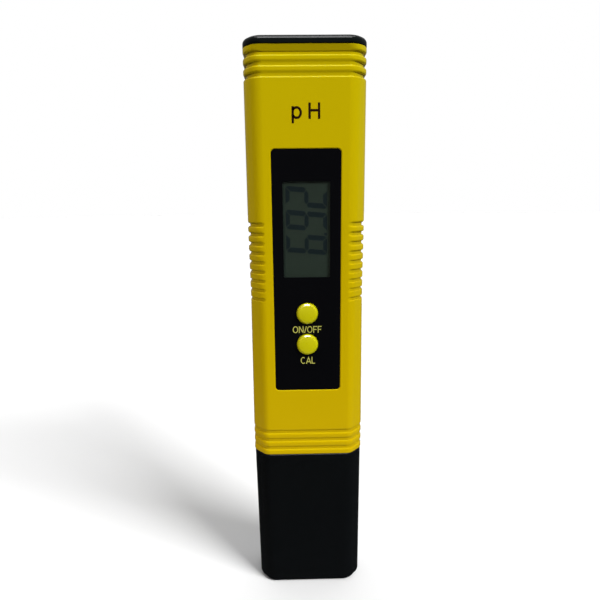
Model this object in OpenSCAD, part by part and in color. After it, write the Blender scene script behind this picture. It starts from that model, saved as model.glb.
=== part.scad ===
// Pocket pH meter, standing on its protective cap.
// The frame: +Z up along the case, the front faces -Y, and the origin is the middle of the cap's base.

/* [Case] */
// Width of the case
case_w = 31.4; // [31:0.2:33]
// Depth of the case
case_d = 15; // [15:0.5:17]
// Height of the whole meter with both caps on
total_h = 154; // [153:1:160]
// Width of the slope on each long edge
chamfer_w = 3.8; // [3.5:0.1:4.5]
// Depth of the slope on each long edge
chamfer_d = 3.8; // [3.4:0.1:4]
// Radius that softens the case's long edges
edge_r = 1.5; // [0.8:0.1:1.6]

/* [Caps] */
// Height of the protective cap over the electrode
cap_h = 42.8; // [42:0.2:43.4]
// Narrowing of the protective cap on each side at its foot
cap_taper = 0.4; // [0:0.1:0.5]
// Radius of the protective cap's bottom edge
cap_foot_r = 1.8; // [1:0.1:1.8]
// Height of the battery cap above the case's rim
lid_h = 2.1; // [1.8:0.1:2.6]

/* [Grooves] */
// Spacing of the grooves round the case and along its grips
groove_pitch = 2.5; // [2.3:0.1:2.6]
// Height of one groove
groove_h = 1.2; // [0.8:0.1:1.3]
// Depth of a groove at the top of the case and in its grips
groove_depth = 0.6; // [0.4:0.1:0.7]
// Depth of a groove at the bottom of the case
low_groove_depth = 0.3; // [0.2:0.1:0.6]
// Number of grooves round each end of the case
ring_count = 3; // [2:1:3]
// Number of grooves in each side grip
grip_count = 9; // [5:1:11]
// Height of the middle of the side grips
grip_z = 98.2; // [90:0.2:105]

/* [Front panel] */
// Sideways place of the panel and all that is on it
panel_x = 0; // [-0.4:0.1:0.4]
// Width of the panel
panel_w = 17.9; // [17.4:0.1:18.6]
// Height of the panel
panel_h = 64.8; // [64:0.2:67]
// Height of the panel's middle
panel_z = 94.85; // [94:0.05:96]
// Width of the display window
window_w = 12.2; // [10:0.1:13]
// Height of the display window
window_h = 24.9; // [22:0.1:26]
// Height of the window's middle
window_z = 106.8; // [106:0.2:108]

/* [Buttons] */
// Diameter of each button
button_d = 5.8; // [5.4:0.1:6.4]
// Height of the power button
power_z = 84.4; // [84:0.1:85]
// Height of the calibration button
cal_z = 75.7; // [74:0.1:76]
// How far a button moves when it is pressed
button_travel = 0.3; // [0.2:0.05:0.3]

/* [Electrode] */
// Diameter of the guard round the glass electrode
guard_d = 10.4; // [10:0.1:10.6]
// Diameter of the glass bulb
bulb_d = 6.6; // [5.6:0.1:7]
// Height of the guard's open end above the base
guard_z = 8; // [6:0.5:9]

/* [Hidden] */
$fn = 48;

// Clearances between pieces that touch lightly, and between pieces that slide.
snug = 0.05;
slide_gap = 0.15;
// How far a cutting shape runs past the face that it cuts.
past = 1;

// The case's walls and its inner faces.
rim_z = total_h - lid_h;
front_y = -case_d / 2;
side_wall = 1.55;
front_wall = 2;
bay_wall = 1.4;
inner_y = front_y + front_wall;
flat_half = case_w / 2 - chamfer_w;
ring_first = 1.95;
low_ring_first = 1.9;
arc_steps = 3;
min_edge_r = 0.4;

// The layers behind the front, from the panel to the circuit board.
recess_depth = 0.6;
recess_y = front_y + recess_depth;
panel_thick = 0.45;
panel_corner_r = 1;
flange_d = button_d + 1.3;
flange_y = recess_y + snug;
flange_thick = 0.45;
seat_y = flange_y + flange_thick + button_travel + 2 * snug;
seat_d = button_d + 1.8;
stem_d = 4.6;
stem_hole_d = stem_d + 0.6;
dome_h = 0.6;
dome_y = front_y - 0.9;
lcd_y = recess_y + 2 * snug;
lcd_thick = 2;
board_y = front_y + 5.8;
board_thick = 1;
board_back = board_y + board_thick;
lcd_w = window_w + 3.8;
lcd_h = window_h + 6.1;
display_hole_w = lcd_w + 4 * snug;
display_hole_h = lcd_h + 4 * snug;
frame_edge = 0.8;
frame_wall = 1.4;
strip_w = 2;
strip_h = lcd_h - 3;
strip_x = lcd_w / 2 - 1.8;

// The circuit board, its posts and its screws.
board_w = 24;
board_bottom = 58;
board_top = 131;
post_d = 3.8;
post_x = 9;
post_zs = [62, 127.6];
screw_d = 1.5;
screw_hole_d = 1.7;
screw_head_d = 3.2;
screw_head_h = 1;
screw_len = 4;
switch_size = 6;
switch_top = inner_y + 0.5;
plunger_d = 3.4;
plunger_y = inner_y + 0.1;
plunger_len = 0.9;
plunger_bore_depth = 1;
switch_foot = [1.6, 0.8];
switch_foot_h = 0.3;

// The components on the board.
chip_leg = [1, 0.3, 0.4];
chip_pitch = 1.27;
crystal_d = 2;
crystal_len = 6;
crystal_place = [9.4, 98];
resistor_size = [2, 0.5, 1.2];
resistor_place = [-8, 66];
resistor_step = [3.2, 4.5];
capacitor_size = [2, 0.9, 1.25];
capacitor_x = 7.4;
capacitor_zs = [67, 73, 79, 92];

// The battery bay, its holder and its cells.
bay_z = 132;
ledge_h = 1.2;
ledge_w = 1.6;
ledge_d = 6;
holder_inset = 1.6;
holder_half_d = 5.5;
holder_floor = 1.2;
holder_z = bay_z + ledge_h;
cell_d = 11.6;
cell_h = 5.4;
cell_step = 0.4;
cell_step_d = 9.6;
cell_x = 6.6;
cell_well_d = 11.9;
contact_h = 0.8;
cell_z = holder_z + holder_floor + contact_h;
cells_top = cell_z + 2 * cell_h;
battery_lead_x = 5.2;
battery_lead_d = 1.1;
battery_lead_len = 15;
bridge_h = 0.3;
bridge_w = 19;
bridge_d = 5;
lid_post_d = 3;
lid_post_x = 5;
skirt_z = cells_top + 1;
skirt_inset = 1.6;
skirt_wall = 1;

// The protective cap's cavity and the collar that fits into it.
cap_floor = 1.8;
cap_inset = 0.15;
cap_mouth_inset = 1.6;
cap_low_inset = 2.05;
cap_mouth_z = 29;
collar_z = 30;
spigot_inset = cap_mouth_inset + slide_gap;
collar_top = 50;
collar_floor = 2;
collar_bore_d = 9.7;
collar_pocket = [5.6, 8];
collar_pocket_x = 9.1;
seal_z = 35.4;
seal_h = 1.2;
seal_depth = 0.7;

// The electrode.
guard_neck_d = 9.6;
guard_top = 40;
guard_bore_d = 8;
slot_w = 2.4;
slot_h = 11;
glass_d = 5.2;
glass_wall = 0.7;
bulb_wall = 0.5;
bulb_z = guard_z + 1.9 + bulb_d / 2;
glass_top = 50;
ring_d = 7.95;
ring_hole_d = 5.25;
junction_z = 20;
junction_h = 2.5;
plug_z = 37;
wire_x = 3.3;
wire_hole_d = 0.8;
lead_top = 62;

// ---- Outlines ----

function unit(v) = v / norm(v);

// One corner of an outline, as an arc of radius r that meets both of its edges.
function round_corner(before, corner, after, r) =
    let (
        u = unit(before - corner),
        v = unit(after - corner),
        half = acos(u * v) / 2,
        centre = corner + unit(u + v) * r / sin(half),
        start = corner + u * r / tan(half) - centre,
        end = corner + v * r / tan(half) - centre,
        first = atan2(start.y, start.x),
        turn = (atan2(end.y, end.x) - first + 540) % 360 - 180
    )
    [
        for (i = [0 : arc_steps])
            let (a = first + turn * i / arc_steps)
            centre + r * [cos(a), sin(a)]
    ];

function round_outline(points, r) =
    let (n = len(points))
    [for (i = [0 : n - 1]) each round_corner(points[(i + n - 1) % n], points[i], points[(i + 1) % n], r)];

// The case's section, with its four sloping edges, drawn in by a distance on every side.
function case_points(inset) =
    let (
        x = case_w / 2 - inset,
        y = case_d / 2 - inset,
        gain = chamfer_w + chamfer_d - norm([chamfer_w, chamfer_d]),
        cx = chamfer_w - inset * gain / chamfer_d,
        cy = chamfer_d - inset * gain / chamfer_w
    )
    [
        [x, cy - y], [x, y - cy], [x - cx, y], [cx - x, y],
        [-x, y - cy], [-x, cy - y], [cx - x, -y], [x - cx, -y]
    ];

function case_outline(inset) = round_outline(case_points(inset), max(edge_r - inset / 2, min_edge_r));

function rectangle(w, h) = [[w / 2, -h / 2], [w / 2, h / 2], [-w / 2, h / 2], [-w / 2, -h / 2]];

// ---- Helpers ----

// A flat shape in X and Y, raised from one height to another.
module slab(low, high) {
    translate([0, 0, low]) linear_extrude(high - low) children();
}

// A flat shape in X and Z, drawn out from one depth to another.
module plate(near, far) {
    translate([0, far, 0]) rotate([90, 0, 0]) linear_extrude(far - near) children();
}

// A block by its middle in X and Z, and its near and far faces in Y.
module block(x, z, near, far, w, h) {
    translate([x - w / 2, near, z - h / 2]) cube([w, far - near, h]);
}

// A round bar along Y.
module bar(x, z, near, far, d) {
    translate([x, far, z]) rotate([90, 0, 0]) cylinder(d = d, h = far - near);
}

// A round bar along Z.
module rod(x, y, low, high, d) {
    translate([x, y, low]) cylinder(d = d, h = high - low);
}

// A solid through case sections, each given as [height, inset].
module skin(sections) {
    rings = [for (s = sections) [for (p = case_outline(s[1])) [p.x, p.y, s[0]]]];
    n = len(rings[0]);
    last = len(rings) - 1;
    sides = [
        for (k = [0 : last - 1], i = [0 : n - 1])
            let (j = (i + 1) % n)
            [k * n + i, (k + 1) * n + i, (k + 1) * n + j, k * n + j]
    ];
    base = [for (i = [0 : n - 1]) i];
    top = [for (i = [n - 1 : -1 : 0]) last * n + i];
    polyhedron([for (r = rings) each r], concat([base], sides, [top]));
}

module panel_outline(gap) {
    translate([panel_x, panel_z])
        polygon(round_outline(rectangle(panel_w + 2 * gap, panel_h + 2 * gap), panel_corner_r));
}

// ---- Case ----

module ring_groove(z, depth) {
    slab(z - groove_h / 2, z + groove_h / 2) difference() {
        square([case_w + 2 * past, case_d + 2 * past], center = true);
        polygon(case_outline(depth));
    }
}

// A grip groove cuts the sides and the slopes, and stops at the edge of the flat front.
module grip_groove(z) {
    slab(z - groove_h / 2, z + groove_h / 2) difference() {
        for (side = [-1, 1])
            translate([side * (flat_half + case_w / 2), 0]) square([case_w, case_d + 2 * past], center = true);
        polygon(case_outline(groove_depth));
    }
}

module case_grooves() {
    for (i = [0 : ring_count - 1]) {
        ring_groove(rim_z - ring_first - i * groove_pitch, groove_depth);
        ring_groove(cap_h + low_ring_first + i * groove_pitch, low_groove_depth);
    }
    for (i = [0 : grip_count - 1])
        grip_groove(grip_z + (i - (grip_count - 1) / 2) * groove_pitch);
}

module electronics_bay_outline() {
    intersection() {
        polygon(case_outline(side_wall));
        translate([-case_w / 2, inner_y]) square([case_w, case_d]);
    }
}

module case_hollows() {
    slab(cap_h - past, bay_z) electronics_bay_outline();
    slab(bay_z - snug, rim_z + past) polygon(case_outline(bay_wall));
    plate(front_y - past, recess_y) panel_outline(snug);
    block(panel_x, window_z, recess_y - past, inner_y + past, display_hole_w, display_hole_h);
    for (z = [power_z, cal_z]) {
        bar(panel_x, z, recess_y - past, seat_y, seat_d);
        bar(panel_x, z, seat_y - past, inner_y + past, stem_hole_d);
    }
}

module board_posts() {
    for (x = [-post_x, post_x], z = post_zs) difference() {
        bar(x, z, inner_y - front_wall / 2, board_y, post_d);
        bar(x, z, inner_y + snug, board_y + past, screw_d + 2 * snug);
    }
}

module holder_ledges() {
    ledge_x = case_w / 2 - side_wall - ledge_w / 2;
    for (side = [-1, 1])
        translate([side * (ledge_x + snug), 0, bay_z + ledge_h / 2])
            cube([ledge_w + side_wall / 2, ledge_d, ledge_h], center = true);
}

module housing() {
    color([0.74, 0.66, 0.03]) {
        difference() {
            slab(cap_h, rim_z) polygon(case_outline(0));
            case_grooves();
            case_hollows();
        }
        board_posts();
        holder_ledges();
    }
}

module front_panel() {
    color([0.04, 0.04, 0.05]) difference() {
        plate(recess_y - panel_thick, recess_y) panel_outline(0);
        block(
            panel_x, window_z, recess_y - past, recess_y + past,
            window_w + 2 * snug, window_h + 2 * snug
        );
        for (z = [power_z, cal_z])
            bar(panel_x, z, recess_y - past, recess_y + past, button_d + 2 * slide_gap);
    }
}

module display_window() {
    color([0.75, 0.8, 0.78, 0.4])
        block(panel_x, window_z, recess_y - panel_thick, recess_y, window_w, window_h);
}

// ---- Display ----

module lcd_glass() {
    back_edge = 1;
    color([0.15, 0.18, 0.16]) {
        block(panel_x, window_z, lcd_y, lcd_y + lcd_thick / 2, lcd_w, lcd_h);
        block(panel_x, window_z, lcd_y + lcd_thick / 2, lcd_y + lcd_thick, lcd_w, lcd_h - 2 * back_edge);
    }
}

module lcd_frame() {
    near = lcd_y + lcd_thick;
    color([0.9, 0.9, 0.88]) difference() {
        block(panel_x, window_z, near, board_y, lcd_w + 2 * frame_edge, lcd_h + 2 * frame_edge);
        block(panel_x, window_z, near - past, board_y + past, lcd_w - frame_wall, lcd_h - frame_wall);
    }
}

module elastomer_strip(side) {
    color([0.85, 0.45, 0.45])
        block(panel_x + side * strip_x, window_z, lcd_y + lcd_thick, board_y, strip_w, strip_h);
}

// ---- Circuit board ----

module circuit_board() {
    color([0.05, 0.35, 0.15]) difference() {
        block(
            0, (board_bottom + board_top) / 2, board_y, board_back,
            board_w, board_top - board_bottom
        );
        for (x = [-post_x, post_x], z = post_zs)
            bar(x, z, board_y - past, board_back + past, screw_hole_d);
    }
}

module board_screws() {
    slot = 0.5;
    cross = screw_head_d * 0.7;
    color([0.7, 0.7, 0.72]) for (x = [-post_x, post_x], z = post_zs) difference() {
        union() {
            bar(x, z, board_back, board_back + screw_head_h, screw_head_d);
            bar(x, z, board_back - screw_len, board_back + snug, screw_d);
        }
        for (size = [[slot, cross], [cross, slot]])
            block(x, z, board_back + screw_head_h - slot, board_back + screw_head_h + past, size[0], size[1]);
    }
}

module push_switch(z) {
    color([0.2, 0.2, 0.21]) difference() {
        union() {
            block(panel_x, z, switch_top, board_y, switch_size, switch_size);
            for (side = [-1, 1], end = [-1, 1])
                translate([side * switch_size / 2, 0, end * switch_size / 3])
                    block(panel_x, z, board_y - switch_foot_h, board_y, switch_foot[0], switch_foot[1]);
        }
        bar(panel_x, z, switch_top - past, switch_top + plunger_bore_depth, plunger_d + 2 * slide_gap);
    }
}

module push_plunger(z) {
    color([0.1, 0.1, 0.1]) bar(panel_x, z, plunger_y, plunger_y + plunger_len, plunger_d);
}

// A button: a domed head, a flange behind the panel, and a stem that meets the switch's plunger.
module push_button(z) {
    head_r = button_d / 2;
    dome_r = (head_r * head_r + dome_h * dome_h) / (2 * dome_h);
    color([0.76, 0.74, 0.04]) union() {
        intersection() {
            bar(panel_x, z, dome_y - past, flange_y + flange_thick / 2, button_d);
            translate([panel_x, dome_y + dome_r, z]) sphere(r = dome_r, $fn = 96);
        }
        bar(panel_x, z, flange_y, flange_y + flange_thick, flange_d);
        bar(panel_x, z, flange_y + flange_thick / 2, plunger_y, stem_d);
    }
}

// A chip with a row of legs on its left and right sides.
module chip(x, z, size, legs) {
    color([0.08, 0.08, 0.09]) union() {
        block(x, z, board_back + chip_leg[1] / 2, board_back + size[1], size[0], size[2]);
        for (side = [-1, 1], i = [0 : legs - 1])
            translate([side * size[0] / 2, 0, (i - (legs - 1) / 2) * chip_pitch])
                block(x, z, board_back, board_back + chip_leg[1], chip_leg[0] * 2, chip_leg[2]);
    }
}

module microcontroller() {
    chip(0, 108, [10, 1.6, 12], 9);
}

module amplifier_chip() {
    chip(0, 72, [4, 1.5, 5], 4);
}

// A can that lies along the board.
module crystal() {
    y = board_back + crystal_d / 2 + snug;
    color([0.75, 0.75, 0.77])
        rod(crystal_place[0], y, crystal_place[1], crystal_place[1] + crystal_len, crystal_d);
}

// A chip part that lies flat on the board, sized across, out from the board, and along it.
module board_chip(x, z, size) {
    block(x, z, board_back, board_back + size[1], size[0], size[2]);
}

module resistors() {
    color([0.12, 0.12, 0.13]) for (column = [0, 1], row = [0 : 2])
        board_chip(
            resistor_place[0] + column * resistor_step[0],
            resistor_place[1] + row * resistor_step[1],
            resistor_size
        );
}

module capacitors() {
    color([0.7, 0.6, 0.45]) for (z = capacitor_zs)
        board_chip(capacitor_x, z, capacitor_size);
}

// ---- Battery bay ----

module battery_holder() {
    color([0.13, 0.13, 0.14]) difference() {
        slab(holder_z, cells_top) intersection() {
            polygon(case_outline(holder_inset));
            square([case_w, 2 * holder_half_d], center = true);
        }
        for (x = [-cell_x, cell_x])
            rod(x, 0, holder_z + holder_floor, cells_top + past, cell_well_d);
    }
}

// A spring contact: a strip on the holder's floor with a leaf that rises to the cell.
module battery_contact(side) {
    half = 4;
    strip = 0.25;
    leaf_end = 1.2;
    color([0.8, 0.78, 0.7]) translate([side * cell_x, 0, holder_z + holder_floor]) plate(-strip * 6, strip * 6) {
        polygon([
            [-half, 0], [half, 0], [half, strip], [0, strip],
            [half - leaf_end, contact_h - strip], [half, contact_h - strip],
            [half, contact_h], [half - leaf_end, contact_h], [-half, strip]
        ]);
    }
}

// Cells 1 and 2 stand with the wide end down, and 3 and 4 with the wide end up.
module button_cell(side, level) {
    z = cell_z + level * cell_h;
    step_z = side < 0 ? z + cell_h - cell_step : z;
    can_z = side < 0 ? z : z + cell_step;
    color([0.78, 0.78, 0.8]) union() {
        rod(side * cell_x, 0, can_z, can_z + cell_h - cell_step, cell_d);
        rod(side * cell_x, 0, step_z, step_z + cell_step, cell_step_d);
    }
}

module battery_bridge() {
    color([0.8, 0.78, 0.7])
        translate([0, 0, cells_top + bridge_h / 2]) cube([bridge_w, bridge_d, bridge_h], center = true);
}

module battery_cap() {
    color([0.07, 0.08, 0.08]) union() {
        skin([[rim_z, 0], [rim_z + lid_h * 0.5, 0.15], [rim_z + lid_h * 0.8, 0.55], [total_h, 1.1]]);
        slab(skirt_z, rim_z + snug) difference() {
            polygon(case_outline(skirt_inset));
            polygon(case_outline(skirt_inset + skirt_wall));
        }
        for (x = [-lid_post_x, lid_post_x])
            rod(x, 0, cells_top + bridge_h, rim_z + snug, lid_post_d);
    }
}

module battery_lead(side) {
    y = board_back + battery_lead_d / 2 + snug;
    rod(side * battery_lead_x, y, holder_z - battery_lead_len, holder_z, battery_lead_d);
}

// ---- Protective cap and electrode ----

module protective_cap() {
    foot_steps = 4;
    foot = [
        for (i = [0 : foot_steps])
            let (a = 90 * i / foot_steps)
            [cap_foot_r * (1 - sin(a)), cap_inset + cap_taper + cap_foot_r * (1 - cos(a)) * 0.85]
    ];
    color([0.05, 0.055, 0.06]) difference() {
        skin(concat([for (i = [foot_steps : -1 : 0]) foot[i]], [[cap_h, cap_inset]]));
        slab(cap_floor, cap_mouth_z) polygon(case_outline(cap_low_inset));
        slab(cap_mouth_z - snug, cap_h + past) polygon(case_outline(cap_mouth_inset));
    }
}

module electrode_collar() {
    color([0.1, 0.1, 0.11]) difference() {
        union() {
            slab(collar_z, cap_h) polygon(case_outline(spigot_inset));
            slab(cap_h - snug, collar_top) intersection() {
                polygon(case_outline(side_wall + snug));
                translate([-case_w / 2, inner_y + snug]) square([case_w, case_d]);
            }
        }
        rod(0, 0, collar_z - past, collar_top + past, collar_bore_d);
        for (side = [-1, 1])
            translate([side * collar_pocket_x, 0, collar_z + collar_floor + collar_top / 2])
                cube([collar_pocket[0], collar_pocket[1], collar_top], center = true);
        slab(seal_z, seal_z + seal_h) difference() {
            square([case_w, case_d], center = true);
            polygon(case_outline(spigot_inset + seal_depth));
        }
    }
}

module cap_seal() {
    color([0.16, 0.16, 0.17]) slab(seal_z, seal_z + seal_h) difference() {
        polygon(case_outline(cap_mouth_inset + snug));
        polygon(case_outline(spigot_inset + seal_depth));
    }
}

module electrode_guard() {
    color([0.09, 0.09, 0.1]) difference() {
        union() {
            rod(0, 0, guard_z, collar_z, guard_d);
            rod(0, 0, collar_z - past, guard_top, guard_neck_d);
        }
        rod(0, 0, guard_z - past, guard_top + past, guard_bore_d);
        for (turn = [45, 135]) rotate([0, 0, turn])
            translate([0, 0, guard_z + slot_h / 2 - past]) cube([guard_d + past, slot_w, slot_h + past], center = true);
    }
}

module glass_electrode() {
    color([0.8, 0.88, 0.88, 0.5]) difference() {
        union() {
            translate([0, 0, bulb_z]) sphere(d = bulb_d);
            rod(0, 0, bulb_z, glass_top, glass_d);
        }
        translate([0, 0, bulb_z]) sphere(d = bulb_d - 2 * bulb_wall);
        rod(0, 0, bulb_z, glass_top + past, glass_d - 2 * glass_wall);
    }
}

// A ring that fills the space between the guard's bore and the glass.
module electrode_ring(low, high) {
    difference() {
        rod(0, 0, low, high, ring_d);
        rod(0, 0, low - past, high + past, ring_hole_d);
    }
}

module reference_junction() {
    color([0.9, 0.88, 0.8]) electrode_ring(junction_z, junction_z + junction_h);
}

module electrode_plug() {
    color([0.3, 0.3, 0.32]) difference() {
        electrode_ring(plug_z, guard_top);
        rod(wire_x, 0, plug_z - past, guard_top + past, wire_hole_d);
    }
}

module silver_wire() {
    color([0.8, 0.8, 0.82]) rod(0, 0, bulb_z - 1, glass_top + 2, 0.8);
}

module reference_wire() {
    color([0.8, 0.8, 0.82]) rod(wire_x, 0, junction_z + 2 * junction_h, guard_top + 4, 0.6);
}

module signal_lead() {
    color([0.85, 0.85, 0.85]) rod(0, 0, glass_top + 2, lead_top, 1.2);
}

module reference_lead() {
    color([0.1, 0.1, 0.1]) rod(wire_x, 0, guard_top + 4, lead_top, 1);
}

protective_cap();
housing();
front_panel();
display_window();
lcd_glass();
lcd_frame();
elastomer_strip(-1);  // elastomer_strip_left
elastomer_strip(1);  // elastomer_strip_right
circuit_board();
push_switch(power_z);  // power_switch
push_switch(cal_z);  // cal_switch
push_plunger(power_z);  // power_plunger
push_plunger(cal_z);  // cal_plunger
push_button(power_z);  // power_button
push_button(cal_z);  // cal_button
microcontroller();
amplifier_chip();
crystal();
resistors();
capacitors();
board_screws();
battery_holder();
battery_contact(-1);  // battery_contact_left
battery_contact(1);  // battery_contact_right
button_cell(-1, 0);  // button_cell_1
button_cell(-1, 1);  // button_cell_2
button_cell(1, 0);  // button_cell_3
button_cell(1, 1);  // button_cell_4
battery_bridge();
battery_cap();
color([0.7, 0.08, 0.06]) battery_lead(-1);  // battery_lead_red
color([0.06, 0.06, 0.06]) battery_lead(1);  // battery_lead_black
electrode_collar();
cap_seal();
electrode_guard();
glass_electrode();
reference_junction();
electrode_plug();
silver_wire();
reference_wire();
signal_lead();
reference_lead();
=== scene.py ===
"""The looks of a pocket pH meter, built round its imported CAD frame.

Everything is in metres in the CAD frame: +Z runs up the case, the front faces -Y, and the meter stands on the
protective cap over its electrode.
"""

import math

import bmesh
import bpy
from mathutils import Matrix, Vector


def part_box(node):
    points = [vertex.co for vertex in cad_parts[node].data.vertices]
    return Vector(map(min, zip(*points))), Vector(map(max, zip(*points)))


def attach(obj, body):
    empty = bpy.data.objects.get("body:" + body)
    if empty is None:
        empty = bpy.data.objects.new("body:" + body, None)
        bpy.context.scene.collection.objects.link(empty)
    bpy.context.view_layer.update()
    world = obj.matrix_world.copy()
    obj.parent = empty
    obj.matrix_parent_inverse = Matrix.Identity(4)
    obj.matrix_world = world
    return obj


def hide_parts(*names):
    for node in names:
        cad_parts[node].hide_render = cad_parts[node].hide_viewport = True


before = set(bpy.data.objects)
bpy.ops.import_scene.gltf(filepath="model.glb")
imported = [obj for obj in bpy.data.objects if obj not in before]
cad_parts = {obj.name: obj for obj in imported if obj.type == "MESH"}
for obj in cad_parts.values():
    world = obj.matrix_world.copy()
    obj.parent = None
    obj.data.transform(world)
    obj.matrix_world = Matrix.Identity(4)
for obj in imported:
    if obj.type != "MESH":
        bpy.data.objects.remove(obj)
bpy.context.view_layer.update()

MM = 0.001

# ---- Places and sizes that come from the frame ----

HOUSING_LOW, HOUSING_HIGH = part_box("housing")
CAP_TOP_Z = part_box("protective_cap")[1].z
LID_TOP_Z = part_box("battery_cap")[1].z
PANEL_LOW, PANEL_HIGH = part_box("front_panel")
WINDOW_LOW, WINDOW_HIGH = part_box("display_window")
LCD_LOW, LCD_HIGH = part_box("lcd_glass")
POWER_LOW, POWER_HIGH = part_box("power_button")
CAL_LOW, CAL_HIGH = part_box("cal_button")
BOARD_FACE_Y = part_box("circuit_board")[0].y
BRIDGE_LOW, BRIDGE_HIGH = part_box("battery_bridge")


def middle_of(low, high):
    """The middle of a box in X and Z."""
    return (low.x + high.x) / 2, (low.z + high.z) / 2


def size_of(low, high):
    """The width and height of a box."""
    return high.x - low.x, high.z - low.z


PANEL_CENTRE = middle_of(PANEL_LOW, PANEL_HIGH)
PANEL_W, PANEL_H = size_of(PANEL_LOW, PANEL_HIGH)
WINDOW_CENTRE = middle_of(WINDOW_LOW, WINDOW_HIGH)
WINDOW_W, WINDOW_H = size_of(WINDOW_LOW, WINDOW_HIGH)
LCD_CENTRE = middle_of(LCD_LOW, LCD_HIGH)
LCD_W, LCD_H = size_of(LCD_LOW, LCD_HIGH)
BUTTON_CENTRES = (middle_of(POWER_LOW, POWER_HIGH), middle_of(CAL_LOW, CAL_HIGH))

CASE_W = HOUSING_HIGH.x - HOUSING_LOW.x
CASE_D = HOUSING_HIGH.y - HOUSING_LOW.y
FRONT_Y = HOUSING_LOW.y
SEAM_Z = HOUSING_LOW.z
RIM_Z = HOUSING_HIGH.z

# ---- Shape of the case ----

# The slope between the front and a side: its width and depth, and the radii of the rounds where it meets the
# front and the side. It changes from the low one at the case's foot to the high one at its rim.
LOW_SLOPE = (3.5 * MM, 3.8 * MM, 3.0 * MM, 3.4 * MM)
HIGH_SLOPE = (3.0 * MM, 3.4 * MM, 4.6 * MM, 4.6 * MM)
MIN_EDGE_R = 0.4 * MM
ARC_STEPS = 14

SIDE_WALL = 1.55 * MM
BAY_WALL = 1.4 * MM
FRONT_WALL = 2.0 * MM
BAY_Z = 132 * MM
RECESS_Y = PANEL_HIGH.y
PANEL_CORNER_R = 1.0 * MM

# Grooves: three rings at each end of the case, and the finger grips on its sides.
GROOVE_PITCH = 2.5 * MM
GROOVE_FLOOR = 0.38 * MM
GROOVE_FLANK = 0.58 * MM
RING_COUNT = 3
FIRST_RING = 1.95 * MM
LOW_RING = 1.90 * MM
LOW_DEPTH = 0.38 * MM
HIGH_SIDE_DEPTH = 0.75 * MM
HIGH_FRONT_DEPTH = 0.26 * MM
FIRST_FRONT_DEPTH = 1.0 * MM
WAVE_LEAN = 1.0 * MM
WAVE_FLOOR = 0.42 * MM
WAVE_FLANK = 0.45 * MM
LID_REVEAL = 0.2 * MM
GRIP_COUNT = 9
GRIP_Z = 98.2 * MM
GRIP_DEPTH = 0.62 * MM
GRIP_REACH = 4.8 * MM
GRIP_END = 1.5 * MM
GRIP_FRONT_SHARE = 0.55
WAIST = 0.22 * MM


def unit(v):
    return v / v.length


def round_corners(points, radii):
    """The closed outline through points, with each corner replaced by an arc.

    The radii repeat along the corners.
    """
    out = []
    for i, corner in enumerate(points):
        radius = radii[i % len(radii)]
        before, after = points[i - 1], points[(i + 1) % len(points)]
        u, v = unit(before - corner), unit(after - corner)
        half = u.angle(v) / 2
        centre = corner + unit(u + v) * radius / math.sin(half)
        start = corner + u * radius / math.tan(half) - centre
        end = corner + v * radius / math.tan(half) - centre
        turn = math.atan2(start.x * end.y - start.y * end.x, start.dot(end))
        for k in range(ARC_STEPS + 1):
            out.append(centre + Matrix.Rotation(turn * k / ARC_STEPS, 2) @ start)
    return out


def slope_at(z):
    """The case's slopes grow a little narrower and rounder towards its top."""
    t = smooth((z - SEAM_Z) / (RIM_Z - SEAM_Z))
    return tuple(low + (high - low) * t for low, high in zip(LOW_SLOPE, HIGH_SLOPE))


def case_outline(inset, slope=LOW_SLOPE):
    """The case's section, with its four sloping edges, drawn in by inset on every side.

    The slope's rounds are those of the edges at no inset.
    """
    width, depth, face_r, side_r = slope
    x, y = CASE_W / 2 - inset, CASE_D / 2 - inset
    gain = width + depth - math.hypot(width, depth)
    cx = width - inset * gain / depth
    cy = depth - inset * gain / width
    corners = [
        (x, cy - y), (x, y - cy), (x - cx, y), (cx - x, y),
        (-x, y - cy), (-x, cy - y), (cx - x, -y), (x - cx, -y),
    ]
    side, face = (max(r - inset, MIN_EDGE_R) for r in (side_r, face_r))
    return round_corners([Vector(c) for c in corners], (side, side, face, face))


def rectangle(centre, width, height, radius):
    """A rounded rectangle in X and Z."""
    x, z = width / 2, height / 2
    corners = [Vector((a * x, b * z)) + Vector(centre) for a, b in ((1, -1), (1, 1), (-1, 1), (-1, -1))]
    return round_corners(corners, (radius,))


def circle(centre, radius, steps=64):
    """A circle in X and Z."""
    turns = [2 * math.pi * i / steps for i in range(steps)]
    return [Vector((centre[0] + radius * math.cos(a), centre[1] + radius * math.sin(a))) for a in turns]


def at_height(outline, z):
    return [Vector((p.x, p.y, z)) for p in outline]


def at_depth(outline, y):
    return [Vector((p.x, y, p.y)) for p in outline]


def smooth(t):
    """A soft step from 0 to 1."""
    t = min(max(t, 0.0), 1.0)
    return t * t * (3 - 2 * t)


def fillet(radius, steps=6):
    """Steps along a quarter round from an end face: how far along from it, and how far in from the side."""
    angles = [math.pi / 2 * k / steps for k in range(steps + 1)]
    return [(radius * (1 - math.cos(a)), radius * (1 - math.sin(a))) for a in angles]


# ---- Meshes ----


def mesh_object(name, verts, faces):
    mesh = bpy.data.meshes.new(name)
    mesh.from_pydata([tuple(v) for v in verts], [], faces)
    bm = bmesh.new()
    bm.from_mesh(mesh)
    bmesh.ops.remove_doubles(bm, verts=bm.verts, dist=1e-7)
    bmesh.ops.recalc_face_normals(bm, faces=bm.faces)
    bm.to_mesh(mesh)
    bm.free()
    obj = bpy.data.objects.new(name, mesh)
    bpy.context.scene.collection.objects.link(obj)
    return obj


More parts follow.
